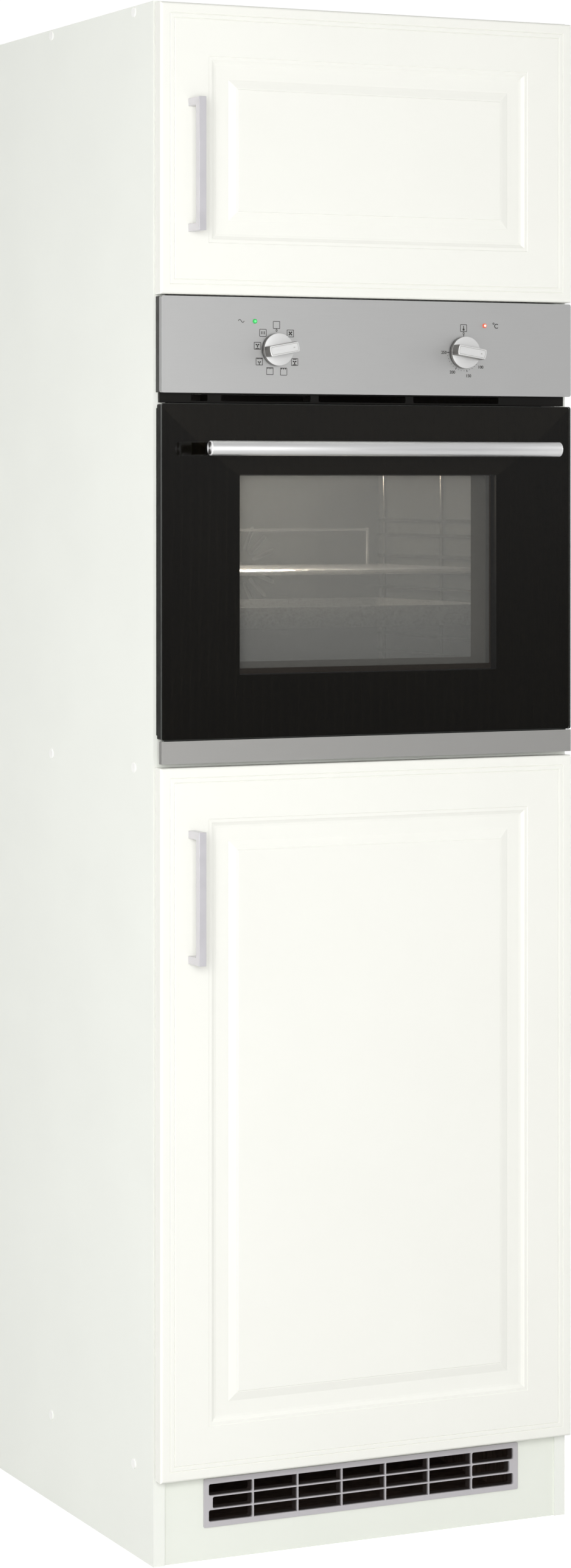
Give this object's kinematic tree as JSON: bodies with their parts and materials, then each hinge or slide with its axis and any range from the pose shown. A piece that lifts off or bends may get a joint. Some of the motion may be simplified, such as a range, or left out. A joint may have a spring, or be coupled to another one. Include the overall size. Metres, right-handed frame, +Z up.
{
  "type": "tall oven housing unit",
  "caption": "Tall kitchen cabinet with a built-in oven at chest height, a raised-panel door above and below it, bar handles and a vented plinth.",
  "frame": {"origin": "centre of the overall box, on the floor", "axes": "+Z up, +X to the right seen from the front, -Y out of the front, where the doors open"},
  "size_m": [0.602, 0.631, 2],
  "materials": {
    "white_board": "satin white melamine-faced chipboard",
    "white_front": "satin warm white foil on a milled fibreboard front",
    "back_board": "thin white hardboard",
    "grille_plastic": "satin lilac-grey moulding",
    "screw_steel": "zinc-plated steel",
    "white_cap": "smooth white",
    "hinge_steel": "nickel-plated steel",
    "handle_metal": "satin lilac-grey lacquered metal",
    "oven_steel": "stainless steel brushed lengthways",
    "bar_steel": "satin stainless tube look",
    "galvanised": "galvanised sheet",
    "enamel": "dark speckled enamel",
    "black_metal": "black paint",
    "black_plastic": "black moulding",
    "switch_plastic": "heat-proof moulding",
    "green_lens": "translucent green",
    "red_lens": "translucent red",
    "seal_rubber": "silicone seal",
    "wire_chrome": "chromed wire",
    "element_metal": "oxidised steel tube",
    "fan_steel": "plain steel sheet",
    "motor_metal": "laminated motor body",
    "lamp_glass": "heat-proof lens",
    "box_plastic": "light grey moulding",
    "door_glass": "smoked toughened glass",
    "clear_glass": "clear toughened glass",
    "black_print": "black enamel print on the glass",
    "knob_plastic": "metallic silver knob"
  },
  "bodies": {
    "cabinet": {"left_side_panel": "white_board", "right_side_panel": "white_board", "top_panel": "white_board", "bottom_panel": "white_board", "oven_shelf": "white_board", "compartment_shelf": "white_board", "compartment_back_panel": "back_board", "rear_cross_rail": "white_board", "plinth_panel": "white_board", "vent_grille": "grille_plastic", "connecting_screws": "screw_steel", "screw_cover_caps": "white_cap", "hinge_mounting_plates": "hinge_steel", "hinge_arms": "hinge_steel", "oven_casing": "galvanised", "oven_cavity": "enamel", "oven_front_frame": "black_metal", "oven_fixing_screws": "black_metal", "control_fascia": "oven_steel", "control_carrier": "black_plastic", "vent_louvre": "black_plastic", "function_switch": "switch_plastic", "thermostat": "switch_plastic", "power_lens": "green_lens", "heating_lens": "red_lens", "door_seal": "seal_rubber", "left_side_rack": "wire_chrome", "right_side_rack": "wire_chrome", "grill_element": "element_metal", "fan_cover": "enamel", "fan_motor": "motor_metal", "oven_lamp": "lamp_glass", "terminal_box": "box_plastic", "cooling_fan_housing": "galvanised", "oven_hinge_brackets": "galvanised"},
    "upper_door": {"upper_door_panel": "white_front", "upper_door_handle": "handle_metal", "upper_handle_screws": "screw_steel", "upper_hinge_cups": "hinge_steel"},
    "lower_door": {"lower_door_panel": "white_front", "lower_door_handle": "handle_metal", "lower_handle_screws": "screw_steel", "lower_hinge_cups": "hinge_steel"},
    "oven_door": {"door_outer_glass": "door_glass", "door_glass_print": "black_print", "door_frame": "black_metal", "door_middle_glass": "clear_glass", "door_inner_glass": "clear_glass", "door_bottom_trim": "oven_steel", "oven_handle_bar": "bar_steel", "oven_handle_brackets": "black_metal", "oven_hinge_pins": "galvanised"},
    "function_knob": {"function_knob": "knob_plastic"},
    "temperature_knob": {"temperature_knob": "knob_plastic"},
    "convection_fan": {"convection_fan": "fan_steel"},
    "cooling_fan": {"cooling_fan_rotor": "fan_steel"},
    "wire_rack": {"wire_rack": "wire_chrome"},
    "baking_tray": {"baking_tray": "enamel"}
  },
  "joints": [
    {"name": "upper_door_hinge", "type": "hinge", "parent": "cabinet", "child": "upper_door", "pos_m": [0.292, -0.2475, 1.811], "axis": [0, 0, 1], "range_deg": [0, 95]},
    {"name": "lower_door_hinge", "type": "hinge", "parent": "cabinet", "child": "lower_door", "pos_m": [0.292, -0.2475, 0.566], "axis": [0, 0, 1], "range_deg": [0, 95]},
    {"name": "oven_door_hinge", "type": "hinge", "parent": "cabinet", "child": "oven_door", "pos_m": [0, -0.2465, 1.036], "axis": [1, 0, 0], "range_deg": [0, 90], "stiffness_Nm_per_rad": 6, "springref_deg": -28.65},
    {"name": "function_knob_turn", "type": "hinge", "parent": "cabinet", "child": "function_knob", "pos_m": [-0.136, -0.2555, 1.55625], "axis": [0, -1, 0], "continuous": true},
    {"name": "temperature_knob_turn", "type": "hinge", "parent": "cabinet", "child": "temperature_knob", "pos_m": [0.136, -0.2555, 1.55625], "axis": [0, -1, 0], "range_deg": [-173, 97]},
    {"name": "convection_fan_spin", "type": "hinge", "parent": "cabinet", "child": "convection_fan", "pos_m": [0, 0.1755, 1.2675], "axis": [0, 1, 0], "continuous": true},
    {"name": "cooling_fan_spin", "type": "hinge", "parent": "cabinet", "child": "cooling_fan", "pos_m": [0, -0.0845, 1.565], "axis": [1, 0, 0], "continuous": true},
    {"name": "rack_slide", "type": "slide", "parent": "cabinet", "child": "wire_rack", "axis": [0, -1, 0], "range_m": [0, 0.25]},
    {"name": "tray_slide", "type": "slide", "parent": "cabinet", "child": "baking_tray", "axis": [0, -1, 0], "range_m": [0, 0.25]}
  ],
  "couplings": [
    {"joint": "rack_slide", "follows": "oven_door_hinge", "m_per_rad": 0.159},
    {"joint": "tray_slide", "follows": "oven_door_hinge", "m_per_rad": 0.159}
  ]
}
